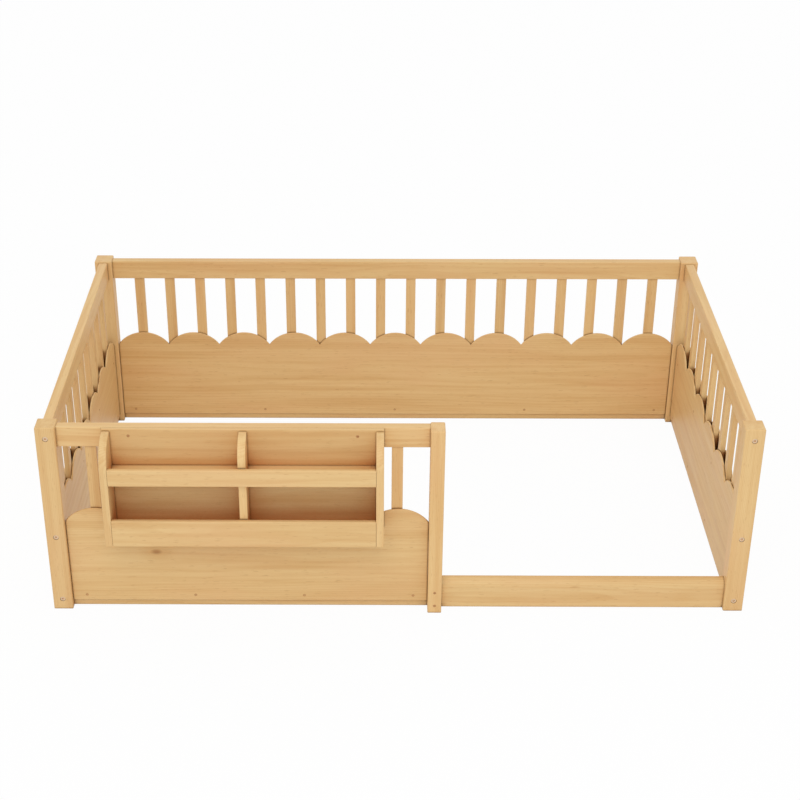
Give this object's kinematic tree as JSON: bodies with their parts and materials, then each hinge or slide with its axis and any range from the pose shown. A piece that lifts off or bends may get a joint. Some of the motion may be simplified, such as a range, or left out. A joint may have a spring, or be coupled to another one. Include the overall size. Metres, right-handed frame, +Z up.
{
  "type": "toddler floor bed",
  "caption": "Low pine floor bed with slatted top walls, scalloped boards below, a doorway in the front wall and a shallow two-tier bookcase hung beside it.",
  "frame": {"origin": "on the floor, under the middle of the whole object's bounding box, bookcase included", "axes": "+X along the bed towards the doorway end, +Y from the front wall to the back wall, +Z up"},
  "size_m": [1.4, 0.86, 0.426],
  "materials": {
    "frame_wood": "clear satin lacquer on pine",
    "slat_wood": "clear satin lacquer on pine",
    "board_wood": "clear satin lacquer on pine-faced board",
    "bookcase_wood": "clear satin lacquer on pine",
    "zinc_steel": "zinc plated"
  },
  "bodies": {
    "root": {"back_board": "board_wood", "back_bottom_rail": "frame_wood", "back_middle_rail": "frame_wood", "back_slat_01": "slat_wood", "back_slat_02": "slat_wood", "back_slat_03": "slat_wood", "back_slat_04": "slat_wood", "back_slat_05": "slat_wood", "back_slat_06": "slat_wood", "back_slat_07": "slat_wood", "back_slat_08": "slat_wood", "back_slat_09": "slat_wood", "back_slat_10": "slat_wood", "back_slat_11": "slat_wood", "back_slat_12": "slat_wood", "back_slat_13": "slat_wood", "back_slat_14": "slat_wood", "back_slat_15": "slat_wood", "back_slat_16": "slat_wood", "back_slat_17": "slat_wood", "back_slat_18": "slat_wood", "back_top_rail": "frame_wood", "barrel_nuts": "zinc_steel", "board_screws": "zinc_steel", "bookcase_back": "bookcase_wood", "bookcase_divider": "bookcase_wood", "bookcase_left_side": "bookcase_wood", "bookcase_lower_lip": "bookcase_wood", "bookcase_lower_shelf": "bookcase_wood", "bookcase_right_side": "bookcase_wood", "bookcase_screws": "zinc_steel", "bookcase_upper_lip": "bookcase_wood", "bookcase_upper_shelf": "bookcase_wood", "front_board": "board_wood", "front_middle_rail": "frame_wood", "front_sill": "frame_wood", "front_slats": "slat_wood", "front_top_rail": "frame_wood", "gate_post": "frame_wood", "gate_screws": "zinc_steel", "left_bottom_rail": "frame_wood", "left_inner_board": "board_wood", "left_middle_rail": "frame_wood", "left_outer_board": "board_wood", "left_slats": "slat_wood", "left_top_rail": "frame_wood", "post_back_left": "frame_wood", "post_back_right": "frame_wood", "post_bolts": "zinc_steel", "post_front_left": "frame_wood", "post_front_right": "frame_wood", "right_bottom_rail": "frame_wood", "right_inner_board": "board_wood", "right_middle_rail": "frame_wood", "right_outer_board": "board_wood", "right_slats": "slat_wood", "right_top_rail": "frame_wood"}
  },
  "joints": []
}
